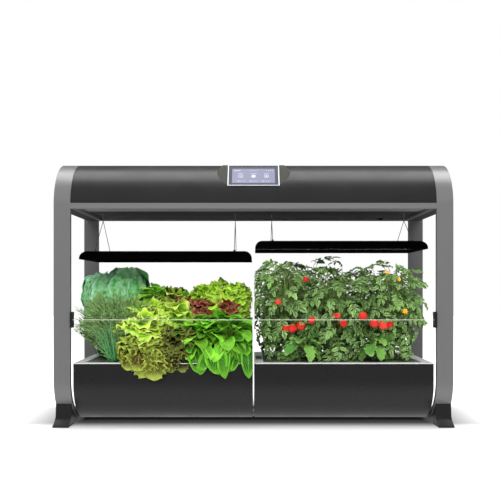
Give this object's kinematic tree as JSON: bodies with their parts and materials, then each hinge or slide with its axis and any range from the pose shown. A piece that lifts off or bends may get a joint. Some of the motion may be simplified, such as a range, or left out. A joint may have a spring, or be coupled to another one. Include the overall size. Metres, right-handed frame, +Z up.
{
  "type": "countertop hydroponic garden",
  "caption": "Wide tabletop garden: grey side loops, black curved hood with touch display, hanging LED lamps, string trellis, water bowls with planted pod decks.",
  "frame": {"origin": "centre of the footprint, on the surface it stands on", "axes": "+Z up, +X to the right seen from the front, +Y to the back; the display faces -Y"},
  "size_m": [0.9144, 0.308, 0.615],
  "materials": {
    "loop_grey": "satin",
    "foot_black": "matte",
    "pad_rubber": "matte",
    "screw_steel": "satin",
    "rail_aluminium": "satin",
    "rail_grey": "satin",
    "hood_black": "satin",
    "ceiling_grey": "matte",
    "pod_olive": "gloss",
    "bezel_silver": "satin",
    "screen_glass": "gloss",
    "board_green": "satin",
    "supply_black": "matte",
    "wire_steel": "polished",
    "bracket_steel": "satin",
    "motor_black": "satin",
    "drum_nylon": "satin",
    "lamp_black": "matte",
    "board_white": "matte",
    "chip_yellow": "gloss",
    "lens_clear": "gloss",
    "clip_black": "satin",
    "string_white": "matte",
    "bead_white": "gloss",
    "bowl_black": "satin",
    "rim_silver": "satin",
    "deck_black": "satin",
    "door_black": "satin",
    "basket_black": "matte",
    "sponge_brown": "matte",
    "label_green": "satin",
    "pump_black": "satin",
    "foam_blue": "matte",
    "leaf_blue_green": "satin",
    "leaf_herb": "satin",
    "leaf_lettuce": "satin",
    "leaf_tomato": "satin"
  },
  "bodies": {
    "frame": {"side_loop_left": "loop_grey", "side_loop_right": "loop_grey", "foot_left": "foot_black", "foot_right": "foot_black", "foot_pads": "pad_rubber", "frame_screws": "screw_steel", "support_rails": "rail_aluminium", "hood_rails": "rail_grey", "hood_shell": "hood_black", "hood_ceiling": "ceiling_grey", "hood_end_left": "hood_black", "hood_end_right": "hood_black", "control_pod": "pod_olive", "display_bezel": "bezel_silver", "display_screen": "screen_glass", "control_board": "board_green", "power_supply": "supply_black", "power_inlet": "supply_black", "wire_grippers": "wire_steel", "shaft_brackets": "bracket_steel", "spring_motors": "motor_black", "lift_cables": "wire_steel", "lamp_wires_left": "wire_steel", "lamp_wires_right": "wire_steel", "bowl_left": "bowl_black", "bowl_right": "bowl_black", "deck_rim_left": "rim_silver", "deck_rim_right": "rim_silver", "deck_panel_left": "deck_black", "deck_panel_right": "deck_black", "pod_baskets": "basket_black", "pod_sponges": "sponge_brown", "pod_labels": "label_green", "pump_housings": "pump_black", "pump_filters": "foam_blue", "plants_cabbage": "leaf_blue_green", "plants_herbs": "leaf_herb", "plants_lettuce": "leaf_lettuce", "plants_tomato": "leaf_tomato"},
    "lamp_left": {"lamp_housing_left": "lamp_black", "led_board_left": "board_white", "led_chips_left": "chip_yellow", "lamp_lens_left": "lens_clear", "wire_eyelets_left": "wire_steel"},
    "lamp_right": {"lamp_housing_right": "lamp_black", "led_board_right": "board_white", "led_chips_right": "chip_yellow", "lamp_lens_right": "lens_clear", "wire_eyelets_right": "wire_steel"},
    "shaft_left": {"lift_shaft_left": "wire_steel", "cable_drums_left": "drum_nylon"},
    "shaft_right": {"lift_shaft_right": "wire_steel", "cable_drums_right": "drum_nylon"},
    "trellis": {"trellis_clips": "clip_black", "trellis_string": "string_white", "trellis_bead": "bead_white"},
    "door_left": {"fill_door_left": "door_black"},
    "door_right": {"fill_door_right": "door_black"},
    "pump_left": {"impeller_left": "drum_nylon"},
    "pump_right": {"impeller_right": "drum_nylon"}
  },
  "joints": [
    {"name": "lamp_left_lift", "type": "slide", "parent": "frame", "child": "lamp_left", "axis": [0, 0, 1], "range_m": [-0.008, 0.075], "deforming": ["lamp_wires_left"]},
    {"name": "lamp_right_lift", "type": "slide", "parent": "frame", "child": "lamp_right", "axis": [0, 0, 1], "range_m": [-0.005, 0.05], "deforming": ["lamp_wires_right"]},
    {"name": "shaft_left_turn", "type": "hinge", "parent": "frame", "child": "shaft_left", "pos_m": [0, 0.0127, 0.5466], "axis": [1, 0, 0], "range_deg": [-338.36, 36.09]},
    {"name": "shaft_right_turn", "type": "hinge", "parent": "frame", "child": "shaft_right", "pos_m": [0, 0.0127, 0.5466], "axis": [1, 0, 0], "range_deg": [-225.57, 22.56]},
    {"name": "trellis_height", "type": "slide", "parent": "frame", "child": "trellis", "axis": [0, 0, 1], "range_m": [-0.05, 0.12]},
    {"name": "fill_door_left_hinge", "type": "hinge", "parent": "frame", "child": "door_left", "pos_m": [-0.0184, -0.01, 0.143], "axis": [0, -1, 0], "range_deg": [0, 95]},
    {"name": "fill_door_right_hinge", "type": "hinge", "parent": "frame", "child": "door_right", "pos_m": [0.0184, -0.01, 0.143], "axis": [0, 1, 0], "range_deg": [0, 95]},
    {"name": "impeller_left_spin", "type": "hinge", "parent": "frame", "child": "pump_left", "pos_m": [-0.20735, 0, 0.03], "axis": [0, 0, 1], "continuous": true},
    {"name": "impeller_right_spin", "type": "hinge", "parent": "frame", "child": "pump_right", "pos_m": [0.20735, 0, 0.03], "axis": [0, 0, 1], "continuous": true}
  ],
  "couplings": [
    {"joint": "shaft_left_turn", "follows": "lamp_left_lift", "rad_per_m": -78.74},
    {"joint": "shaft_right_turn", "follows": "lamp_right_lift", "rad_per_m": -78.74}
  ]
}
